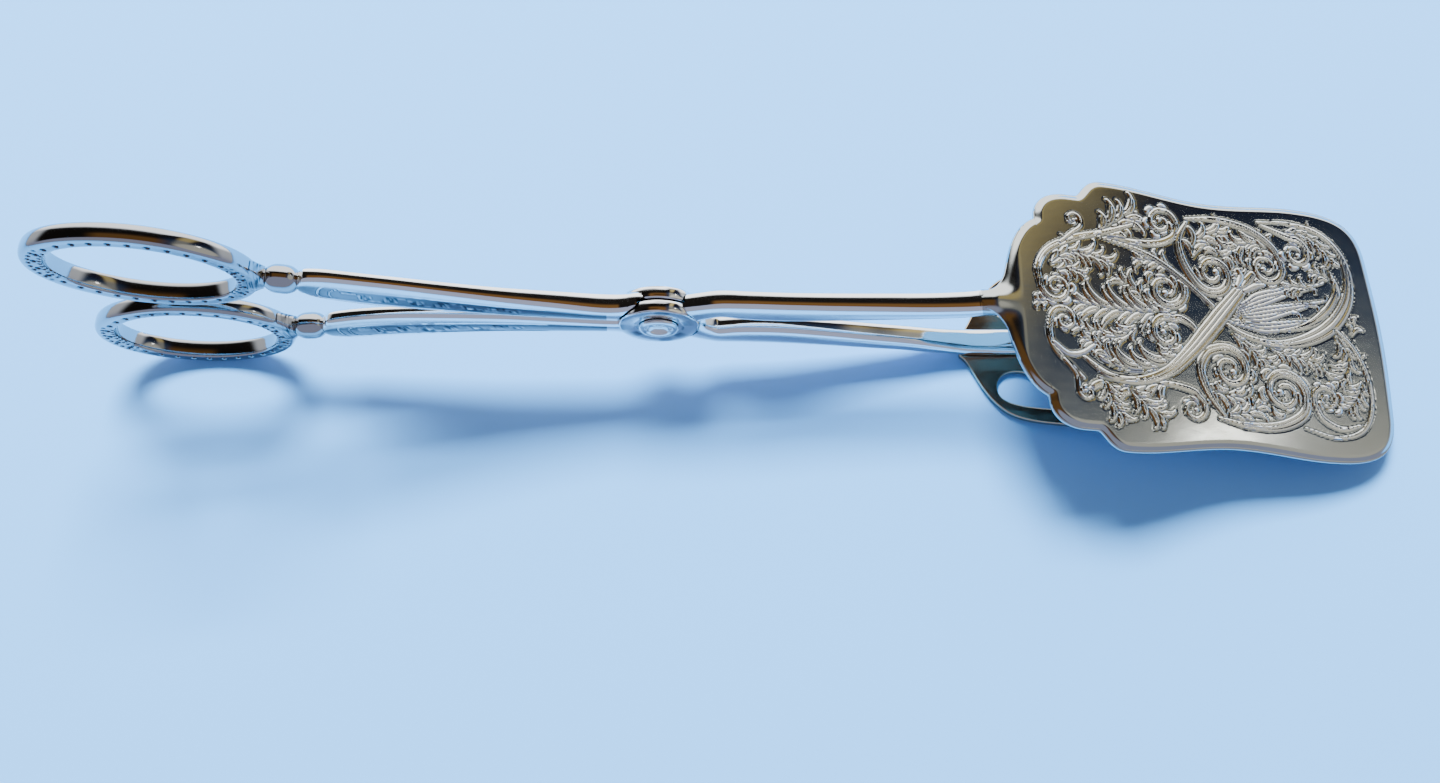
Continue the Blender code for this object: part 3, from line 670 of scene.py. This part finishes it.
def blade_grid(side):
    """Grid over the blade, in mm; its lines across bend into the far end's shape."""
    columns, rows, bend_start = 390, 241, 58.0
    corner = int(np.argmin(np.hypot(side[:, 0] - CORNER[0], side[:, 1] - CORNER[1])))
    corner_x, corner_y = side[corner]
    flank, end = side[:corner + 1], side[corner:]
    # even spacing along x, finer where the outline climbs
    climb = np.concatenate([[0], np.cumsum(np.hypot(np.diff(flank[:, 0]), 0.35 * np.diff(flank[:, 1])))])
    line_x = np.interp(np.linspace(0, climb[-1], columns), climb, flank[:, 0])
    half = np.interp(line_x, flank[:, 0] + 1e-9 * np.arange(len(flank)), flank[:, 1])
    across = np.linspace(-1, 1, rows)
    end_x = np.concatenate([end[:, 0], end[::-1, 0][1:]])
    end_y = np.concatenate([-end[:, 1], end[::-1, 1][1:]])
    tip_x = np.interp(across * corner_y, end_y, end_x)
    share = np.clip((line_x - bend_start) / (corner_x - bend_start), 0, 1)[:, None]
    x = np.where(share > 0, bend_start + share * (tip_x[None, :] - bend_start), line_x[:, None])
    return x, across[None, :] * half[:, None]


def rim_distance(side, x, y):
    """Distance from every point of the grid to the outline, in mm."""
    rim = np.vstack([side, side[::-1] * [1, -1]])
    spots = []
    for a, b in zip(rim, rim[1:]):
        n = max(int(np.hypot(*(b - a)) / 0.25), 1)
        spots += [a + (b - a) * k / n for k in range(n)]
    tree = KDTree(len(spots))
    for k, (px, py) in enumerate(spots):
        tree.insert((px, py, 0), k)
    tree.balance()
    found = [tree.find((px, py, 0))[2] for px, py in zip(x.ravel(), y.ravel())]
    return np.array(found).reshape(x.shape)


def blade_depth(x, y, distance):
    """Depth of the plain top face below the blade's own plane: rolled rim, dish, crowned and bent neck."""
    roll = ROLL_DEPTH * (1 - smoothstep(0, ROLL_WIDTH, distance)) ** 1.6 * smoothstep(0.5, 5.0, x)
    dish = DISH_DEPTH * (1 - (y / 25) ** 2) * smoothstep(0, 20, x)
    crown = CROWN_DEPTH * (1 - smoothstep(-1.0, 4.5, x)) * np.tanh((y / 2.6) ** 2)
    return roll + dish + crown + NECK_BEND * np.minimum(x, 0) ** 2


def blade_underside(x, y, depth):
    """Points of the rim and the flat underside, and the faces that join them to the top grid."""
    columns, rows = x.shape
    loop = ([(i, 0) for i in range(columns)] + [(columns - 1, j) for j in range(1, rows)]
            + [(i, rows - 1) for i in range(columns - 2, -1, -1)]
            + [(0, j) for j in range(rows - 2, 0, -1)])
    outline = np.array([(x[i, j], y[i, j]) for i, j in loop])
    top_edge = np.array([depth[i, j] for i, j in loop])
    along = np.roll(outline, -1, 0) - np.roll(outline, 1, 0)
    inward = unit_rows(np.column_stack([-along[:, 1], along[:, 0]]))
    points, faces = [], []
    previous = [i * rows + j for i, j in loop]
    start = columns * rows
    for inset, at in RIM_STEPS:
        ring = outline + inset * inward
        points.append(blade_place(ring[:, 0], ring[:, 1], np.maximum(at, top_edge + 0.04 * at)))
        current = list(range(start, start + len(loop)))
        start += len(loop)
        for k in range(len(loop)):
            m = (k + 1) % len(loop)
            faces.append([previous[k], previous[m], current[m], current[k]])
        previous = current
    return points, faces + [previous]


def blade_neck():
    """Rings of the neck, square to its own run."""
    neck = catmull(TANG, 8)
    t = math.tau * (np.arange(64) + 0.5) / 64
    rings = []
    for k, (along, height, half, wide, squareness) in enumerate(neck):
        run = neck[min(k + 1, len(neck) - 1)] - neck[max(k - 1, 0)]
        upward = np.array([-run[1], 0, run[0]]) / np.hypot(run[0], run[1])
        centre = np.array(PIVOT) + MM * np.array([along, 0, height])
        rings.append(centre + MM * (np.outer(half * rounded(np.sin(t), squareness), upward)
                                    + np.outer(wide * rounded(np.cos(t), squareness), [0, 1, 0])))
    return rings


def blade(name, body):
    """Engraved spade plate with a rolled rim, and its neck."""
    side = cubic(BLADE_SIDE, 40)
    x, y = blade_grid(side)
    relief = Relief((-3, 78), (-27, 27), 0.08)
    engrave(relief)
    height = relief.sample(x, y)
    depth = blade_depth(x, y, rim_distance(side, x, y)) - height
    rim_points, rim_faces = blade_underside(x, y, depth)
    points = np.vstack([blade_place(x, y, depth).reshape(-1, 3), *rim_points])
    faces = grid_faces(*x.shape, wrap_columns=False) + rim_faces
    heights = np.zeros(len(points))
    heights[:x.size] = height.reshape(-1)
    obj = make_object(name + "_look", points, faces, heights)
    combine(obj, skin("tang", blade_neck()), "UNION")
    return finish_piece(obj, blade_plate, body, name, sharp=60)


def blade_place(x, y, depth):
    """From the blade's own plane, in mm, to the lie on the table."""
    c, s = math.cos(BLADE_SLOPE), math.sin(BLADE_SLOPE)
    return np.stack([PIVOT.x + MM * (NECK_X + x * c - depth * s), MM * y,
                     PIVOT.z + MM * (NECK_TOP - x * s - depth * c)], -1)


# Scrolls: centre, radius, start angle, turns, hand, lead-in
SCROLLS = (
    ((10.8, 3.6), 3.0, 170, 1.5, 1, ((27.0, 17.4), (21.0, 15.2), (15.0, 13.4), (9.8, 10.6), (7.6, 7.0))),
    ((11.8, -2.6), 2.6, 180, 1.4, -1, ((14.4, -13.2), (12.4, -11.2), (9.8, -8.6), (8.7, -5.6))),
    ((14.8, -15.6), 1.6, 180, 0.9, 1, ((11.0, -9.9), (13.0, -12.6))),
    ((15.2, 17.2), 1.5, 0, 0.9, 1, ((12.4, 12.4), (14.8, 14.4), (16.6, 15.8))),
    ((32.9, 18.6), 3.0, 0, 1.35, 1, ((20.0, 14.2), (26.0, 13.9), (31.5, 14.2), (35.2, 16.0))),
    ((32.4, 5.2), 3.8, 30, 1.4, -1, ((41.0, 2.6), (38.6, 5.8), (36.8, 7.4))),
    ((31.4, -3.2), 3.2, 60, 1.3, 1, ((38.4, -5.6), (37.0, -1.8), (34.6, -0.2))),
    ((34.8, -17.0), 2.6, 60, 1.25, -1, ((27.5, -12.6), (32.0, -13.0), (35.2, -13.8))),
    ((43.0, -9.0), 4.2, 120, 1.45, -1, ((41.4, -19.0), (38.4, -14.4), (37.2, -9.6), (38.8, -6.4))),
    ((53.4, -12.6), 4.4, 0, 1.5, 1, ((39.6, -18.4), (45.0, -19.4), (51.5, -19.0), (56.6, -16.4))),
    ((61.8, -13.2), 2.8, 200, 1.35, -1, ((68.4, -17.6), (64.0, -18.6), (60.4, -17.0))),
    ((42.2, 9.4), 4.3, 205, 1.5, 1, ((38.2, 19.4), (36.0, 15.4), (36.4, 11.2))),
    ((53.6, 11.8), 3.4, 0, 1.4, -1, ((38.0, 19.9), (44.5, 20.4), (51.2, 19.0), (55.6, 15.8))),
    ((60.4, 15.4), 2.9, 80, 1.35, -1, ((53.2, 20.6), (56.6, 19.4), (59.6, 18.4))))

# Leaves: spine, lobes, reach, spread, sides, lobe half width
LEAVES = (
    (((20.0, 14.6), (23.4, 17.2), (28.2, 20.2)), 4, 5.8, 46, (1, -1), 0.84),
    (((10.2, 8.0), (13.6, 10.4), (18.0, 10.2), (22.4, 8.8)), 6, 4.4, 50, (1, -1), 0.56),
    (((11.0, 6.8), (14.0, 7.2), (17.0, 6.0)), 3, 2.8, 56, (1, -1), 0.46),
    (((34.0, 9.6), (30.6, 10.6), (26.4, 10.6)), 4, 3.5, 52, (1, -1), 0.58),
    (((29.4, 1.6), (26.4, 4.4), (22.6, 7.0)), 4, 3.8, 48, (1, -1), 0.58),
    (((34.0, 1.2), (28.0, 0.4), (21.0, 0.4), (14.0, 1.0)), 9, 7.4, 44, (1, -1), 0.66),
    (((9.2, 0.6), (8.0, 0.5), (6.6, 0.5)), 2, 1.9, 60, (1, -1), 0.45),
    (((26.0, -2.2), (22.0, -4.8), (17.0, -4.6), (13.8, -3.2)), 5, 3.6, 50, (1, -1), 0.52),
    (((37.0, -5.6), (31.5, -8.8), (25.0, -10.6), (19.0, -9.8), (14.6, -6.6)), 8, 6.6, 54, (-1,), 1.0),
    (((20.0, -9.0), (17.4, -6.6), (14.6, -5.6)), 3, 2.9, 56, (-1, 1), 0.52),
    (((31.0, -12.0), (26.0, -13.6), (21.0, -14.2), (17.4, -12.8)), 6, 6.2, 60, (1,), 0.76),
    (((18.4, -13.4), (19.4, -17.0), (21.4, -20.6)), 4, 3.4, 42, (1, -1), 0.56),
    (((23.0, -14.4), (26.0, -17.2), (29.2, -19.4)), 4, 3.9, 42, (1, -1), 0.60),
    (((37.6, -12.2), (39.6, -13.6), (43.4, -14.4), (47.0, -14.0)), 6, 4.2, 54, (1, -1), 0.60),
    (((41.6, -17.6), (45.4, -17.0), (49.2, -14.8)), 4, 3.6, 50, (1, -1), 0.56),
    (((47.6, -5.0), (50.6, -6.6), (52.2, -7.6)), 3, 3.2, 54, (1, -1), 0.54),
    (((38.6, 12.4), (39.6, 15.4), (43.2, 17.6), (46.4, 17.4)), 5, 4.4, 58, (-1, 1), 0.72),
    (((56.2, 14.4), (52.2, 16.4), (48.0, 15.4), (45.6, 12.6)), 6, 4.6, 58, (1, -1), 0.74),
    (((44.6, 11.4), (46.4, 9.6), (50.0, 8.0)), 3, 3.2, 50, (1, -1), 0.56),
    (((58.6, 19.6), (63.0, 19.2), (66.6, 16.4), (68.0, 13.4)), 6, 3.7, 54, (1, -1), 0.56),
    (((66.6, 10.6), (64.6, 11.6), (62.4, 11.6)), 3, 2.7, 58, (1, -1), 0.48),
    (((62.0, 8.2), (59.4, 8.6), (56.2, 8.0)), 3, 2.6, 54, (1, -1), 0.50),
    (((44.4, -2.0), (48.0, -5.0), (50.4, -8.6)), 4, 3.0, 38, (1, -1), 0.46),
    (((52.0, -4.2), (57.0, -5.6), (62.0, -6.6)), 6, 4.0, 46, (1, -1), 0.52),
    (((66.0, -0.6), (67.8, -4.4), (66.0, -8.4), (63.0, -9.8)), 6, 4.3, 52, (1, -1), 0.62),
    (((70.0, -9.0), (68.2, -12.4), (65.6, -15.0)), 5, 3.5, 52, (1, -1), 0.54),
    (((69.4, -0.4), (70.2, 1.6), (69.8, 3.6)), 2, 2.1, 56, (1, -1), 0.45))

# Stems: path, half widths, ridges
STEMS = (
    (((20.8, 14.0), (26.0, 12.9), (31.0, 11.0), (35.6, 7.9), (39.2, 4.8), (42.2, 2.2)),
     (0.2, 0.4, 0.5, 0.5, 0.3), 2),
    (((9.4, -7.0), (11.8, -8.8), (14.4, -8.6), (17.0, -6.9)), (0.3, 0.45, 0.3), 1),
    (((67.0, 12.4), (67.8, 8.2), (64.8, 3.8), (60.0, 0.8), (54.6, -0.6)), (0.2, 0.9, 1.1, 0.6, 0.2), 3),
    (((53.0, 20.9), (59.5, 21.4), (65.6, 20.2), (69.6, 16.6), (70.8, 11.5), (69.4, 6.2), (65.4, 1.3),
      (59.5, -2.0), (53.0, -3.3), (47.0, -2.2), (43.0, 0.2)),
     (0.22, 0.35, 0.45, 0.6, 0.9, 1.4, 1.5, 1.2, 0.7, 0.45, 0.3), 3),
    (((66.4, 0.4), (69.4, -3.0), (71.2, -8.5), (70.8, -14.5), (68.0, -18.8), (62.5, -20.3), (56.5, -19.0)),
     (0.35, 0.5, 0.45, 0.45, 0.4, 0.3, 0.2), 2),
    (((50.4, 10.0), (46.8, 5.8), (43.2, 1.8), (39.6, -2.2), (35.6, -6.4), (30.6, -10.6), (25.0, -12.7),
      (19.5, -12.3), (14.8, -9.2)), (0.7, 1.3, 1.6, 1.6, 1.3, 1.0, 0.8, 0.6, 0.3), 4),
    (((47.0, 7.4), (48.0, 9.4), (47.6, 10.8)), (0.4, 0.6, 0.3), 1),
    (((48.4, 6.6), (51.0, 7.8), (52.6, 8.2)), (0.4, 0.6, 0.3), 1))


def engrave(relief):
    """Running scrollwork: fine strands and leaves, then scrolls, then the stems that lie over them."""
    cut = {"height": 0.21, "groove": 0.18, "depth": 0.10}
    # a fan of long fine strands inside the big bow
    strands = 11
    for k in range(strands):
        spread = k / (strands - 1)
        root = np.array((43.2, 1.2 - 0.8 * spread))
        mid = np.array((52.0, 6.6 - 7.6 * spread))
        tip = np.array((64.0 - 2.0 * ((5 * k) % 4), 9.4 - 8.6 * spread))
        rise = 0.5 * (mid + (44.4, 2.2 - 2.4 * spread))
        curl = tip + (1.4, 1.2 - 2.4 * (k % 2))
        relief.stroke(catmull([root, rise, mid, tip, curl], 10), [0.14, 0.22, 0.30, 0.24, 0.10], **cut)
    for leaf in LEAVES:
        relief.leaf(*leaf, **cut)
    for scroll in SCROLLS:
        relief.scroll(*scroll, **cut)
    for path, widths, ridges in STEMS:
        relief.stroke(catmull(path, 10), widths, ridges=ridges, **cut)


HEAD_HALF_THICKNESS, HEAD_BEVEL = 0.65, 0.3
# One side of the pierced head, from the rivet
HEAD_SIDE = (
    ((54.8, 2.0), (57.4, 2.6), (58.3, 9.8), (63.4, 13.3)),
    ((63.4, 13.3), (66.4, 15.2), (70.5, 15.4), (75.4, 15.9)),
    ((75.4, 15.9), (85.0, 16.8), (94.0, 18.4), (104.0, 18.2)),
    ((104.0, 18.2), (113.0, 18.0), (119.5, 17.0), (122.8, 12.0)),
    ((122.8, 12.0), (125.6, 7.8), (127.5, 4.4), (127.5, 0.0)))
# Openings on that side of the rib, as closed runs of curves; the other side has the same
HEAD_OPENINGS = (
    (((61.8, 8.4), (61.8, 5.4), (65.4, 4.4), (69.0, 6.4)),
     ((69.0, 6.4), (76.0, 9.6), (86.0, 10.6), (95.0, 12.0)),
     ((95.0, 12.0), (98.6, 12.7), (98.4, 15.3), (94.6, 15.0)),
     ((94.6, 15.0), (86.0, 14.2), (77.0, 13.0), (70.0, 12.5)),
     ((70.0, 12.5), (65.6, 12.0), (61.8, 11.4), (61.8, 8.4))),
    (((78.2, 4.4), (78.4, 2.9), (80.5, 2.6), (84.0, 2.6)),
     ((84.0, 2.6), (95.0, 2.6), (104.0, 2.2), (114.5, 2.2)),
     ((114.5, 2.2), (119.4, 2.3), (119.4, 8.6), (114.0, 8.8)),
     ((114.0, 8.8), (104.0, 9.2), (92.0, 7.9), (81.5, 6.6)),
     ((81.5, 6.6), (79.4, 6.2), (78.1, 5.6), (78.2, 4.4))),
    (((102.6, 13.4), (102.8, 11.9), (104.6, 11.7), (107.0, 11.7)),
     ((107.0, 11.7), (110.0, 11.7), (113.0, 11.6), (115.6, 11.2)),
     ((115.6, 11.2), (118.6, 10.8), (118.2, 13.2), (115.2, 14.3)),
     ((115.2, 14.3), (111.6, 15.3), (108.0, 15.3), (105.0, 15.2)),
     ((105.0, 15.2), (103.4, 15.1), (102.5, 14.6), (102.6, 13.4))))


def pierced(name, body):
    """Thin openwork plate with softened edges, lying on the table."""
    outer = cubic(HEAD_SIDE, 20)
    loops = [np.vstack([outer, (outer * [1, -1])[-2:0:-1]])]
    for shape in HEAD_OPENINGS:
        loop = cubic(shape, 14)[:-1]
        loops += [loop, loop * [1, -1]]
    bevel, half = HEAD_BEVEL * MM, HEAD_HALF_THICKNESS * MM
    curve = bpy.data.curves.new("plate", "CURVE")
    curve.dimensions, curve.fill_mode = "2D", "BOTH"
    curve.extrude, curve.offset = half - bevel, -bevel
    curve.bevel_depth, curve.bevel_resolution = bevel, 4
    for loop in loops:
        spline = curve.splines.new("POLY")
        spline.points.add(len(loop) - 1)
        for point, (px, py) in zip(spline.points, loop):
            point.co = (PIVOT.x + px * MM, py * MM, 0, 1)
        spline.use_cyclic_u = True
    temporary = link_object("plate", curve)
    mesh = evaluated_mesh(temporary)
    bpy.data.objects.remove(temporary)
    mesh.transform(Matrix.Translation((0, 0, half)))
    tidy_mesh(mesh, weld=2e-6)
    heights = np.array([v.co.z for v in mesh.vertices]) / MM
    on_edge = (heights > 0.01) & (heights < 2 * HEAD_HALF_THICKNESS - 0.01)
    # the flat faces are painted dark, as painted shade for the blade that lies over them, and the edges
    # keep the plate's own lighter colour
    dark, plain = GROOVE_SHADE
    store_relief(mesh, np.where(on_edge, plain, dark))
    return finish_piece(link_object(name + "_look", mesh), head_plate, body, name, sharp=50)


# ---- build

engraving = grip_relief()
front_tail = [(PIVOT.x + x * MM, PIVOT.z + z * MM, h * MM, d * MM) for x, z, h, d in FRONT_TAIL]
rear_tail = [(PIVOT.x + x * MM, z * MM, h * MM, d * MM) for x, z, h, d in REAR_TAIL]
finger_ring("front_finger_ring", FRONT, "front_half")
finger_ring("rear_finger_ring", REAR, "rear_half")
knop("front_knop", FRONT, "front_half")
knop("rear_knop", REAR, "rear_half")
rivet("pivot_rivet", "front_half")
arm("front_arm", FRONT, front_tail, "front_half", engraving)
arm("rear_arm", REAR, rear_tail, "rear_half", engraving)
blade("solid_blade", "front_half")
pierced("pierced_head", "rear_half")


# ---- floor, light and camera

floor_mesh = bpy.data.meshes.new("floor")
floor_mesh.from_pydata([(-3, -3, 0), (3, -3, 0), (3, 3, 0), (-3, 3, 0)], [], [(0, 1, 2, 3)])
floor = link_object("floor", floor_mesh)
floor_material = bpy.data.materials.new("pale_floor")
floor_shader = nodes_of(floor_material)[0]["Principled BSDF"]
floor_shader.inputs["Base Color"].default_value = (0.145, 0.325, 0.66, 1)
floor_shader.inputs["Roughness"].default_value = 0.95
floor_mesh.materials.append(floor_material)

world = bpy.data.worlds.new("room")
bpy.context.scene.world = world
world.use_nodes = True
wn, wl = world.node_tree.nodes, world.node_tree.links
where = wn.new("ShaderNodeTexCoord")
split = wn.new("ShaderNodeSeparateXYZ")
wl.new(where.outputs["Generated"], split.inputs["Vector"])


def maths(operation, a, b):
    """Result of one operation on two numbers or sockets."""
    made = wn.new("ShaderNodeMath")
    made.operation = operation
    for socket, given in zip(made.inputs, (a, b)):
        if isinstance(given, float):
            socket.default_value = given
        else:
            wl.new(given, socket)
    return made.outputs["Value"]


def product(first, *others):
    """Product of values that run from 0 to 1."""
    for other in others:
        first = maths("MULTIPLY", first, other)
    return first


def ease(source, low, high):
    """Smooth change from 0 at low to 1 at high, which may be the smaller one."""
    span = wn.new("ShaderNodeMapRange")
    span.interpolation_type = "SMOOTHSTEP"
    wl.new(source, span.inputs["Value"])
    span.inputs["From Min"].default_value = min(low, high)
    span.inputs["From Max"].default_value = max(low, high)
    return span.outputs["Result"] if low < high else maths("SUBTRACT", 1.0, span.outputs["Result"])


def blend_colours(factor, low, high):
    """Colour between two colours or sockets."""
    mix = wn.new("ShaderNodeMix")
    mix.data_type = "RGBA"
    wl.new(factor, mix.inputs["Factor"])
    for socket, given in ((mix.inputs["A"], low), (mix.inputs["B"], high)):
        if isinstance(given, tuple):
            socket.default_value = (*given, 1)
        else:
            wl.new(given, socket)
    return mix.outputs["Result"]


def glow(below, azimuth, elevation, radius, soft, colour):
    """Soft round glow in one direction of the room; azimuth is from +X towards +Y."""
    a, e = math.radians(azimuth), math.radians(elevation)
    dot = wn.new("ShaderNodeVectorMath")
    dot.operation = "DOT_PRODUCT"
    dot.inputs[1].default_value = (math.cos(e) * math.cos(a), math.cos(e) * math.sin(a), math.sin(e))
    wl.new(where.outputs["Generated"], dot.inputs[0])
    outer, inner = math.cos(math.radians(radius + soft)), math.cos(math.radians(radius - soft))
    return blend_colours(ease(dot.outputs["Value"], outer, inner), below, colour)


# a pale room that is bright high behind the table
east, north, height = (split.outputs[axis] for axis in "XYZ")
walls = blend_colours(ease(north, -0.3, 0.45), (0.42, 0.46, 0.66), (0.85, 0.90, 0.96))
walls = blend_colours(ease(north, 0.45, 0.65), walls, (3.0, 3.1, 3.2))
# a dark ceiling over the table: black and gold on the left, deep blue on the right
right = ease(east, 0.30, 0.55)
far = ease(maths("SUBTRACT", north, maths("MULTIPLY", right, 0.12)), 0.60, 0.47)
ceiling = product(ease(north, -0.26, -0.14), far, ease(height, 0.22, 0.42))
gold = product(ease(north, 0.37, 0.20), ease(east, -0.48, -0.28))
over_left = blend_colours(gold, (0.012, 0.010, 0.009), (0.19, 0.095, 0.030))
over_right = blend_colours(ease(north, 0.30, 0.46), (0.034, 0.066, 0.14), (0.012, 0.013, 0.032))
# a gilt patch that the blade's neck reflects
gilt = blend_colours(ease(north, 0.36, 0.45), (0.34, 0.34, 0.31), (0.66, 0.53, 0.24))
near_neck = product(ease(east, 0.48, 0.55), ease(east, 0.675, 0.610))
over_right = blend_colours(near_neck, over_right, gilt)
room = blend_colours(ceiling, walls, blend_colours(right, over_left, over_right))
# a warm glow to the right, and a small bright pane for one glint
room = glow(room, 0, 38, 18.5, 3.0, (0.75, 0.74, 0.66))
glint = product(ease(east, 0.722, 0.729), ease(east, 0.764, 0.757),
                ease(north, 0.284, 0.290), ease(north, 0.312, 0.306))
room = blend_colours(glint, room, (9.0, 9.0, 8.5))
wl.new(room, wn["Background"].inputs["Color"])
wn["Background"].inputs["Strength"].default_value = 1.0


def area(name, location, size, power, colour):
    """Soft lamp aimed at the tongs, which isn't seen in their plate."""
    light = bpy.data.lights.new(name, "AREA")
    light.shape, light.size, light.size_y = "RECTANGLE", *size
    light.energy, light.color = power, colour
    obj = link_object(name, light)
    obj.location = location
    obj.rotation_mode = "QUATERNION"
    obj.rotation_quaternion = (-Vector(location)).to_track_quat("-Z", "Y")
    obj.visible_glossy = False


area("window", (-0.1, 0.8, 1.1), (0.6, 0.45), 125, (0.48, 0.88, 1.0))
area("soft_top", (0, -0.1, 1.6), (2.2, 2.2), 9, (0.52, 0.86, 1.0))

camera_data = bpy.data.cameras.new("camera")
camera_data.lens, camera_data.sensor_width, camera_data.clip_start = 30.75, 36, 0.01
camera = link_object("camera", camera_data)
camera.location = (0.0025, -0.0856, 0.2175)
camera.rotation_euler = (math.radians(19.54), math.radians(1.79), math.radians(0.23))
bpy.context.scene.camera = camera
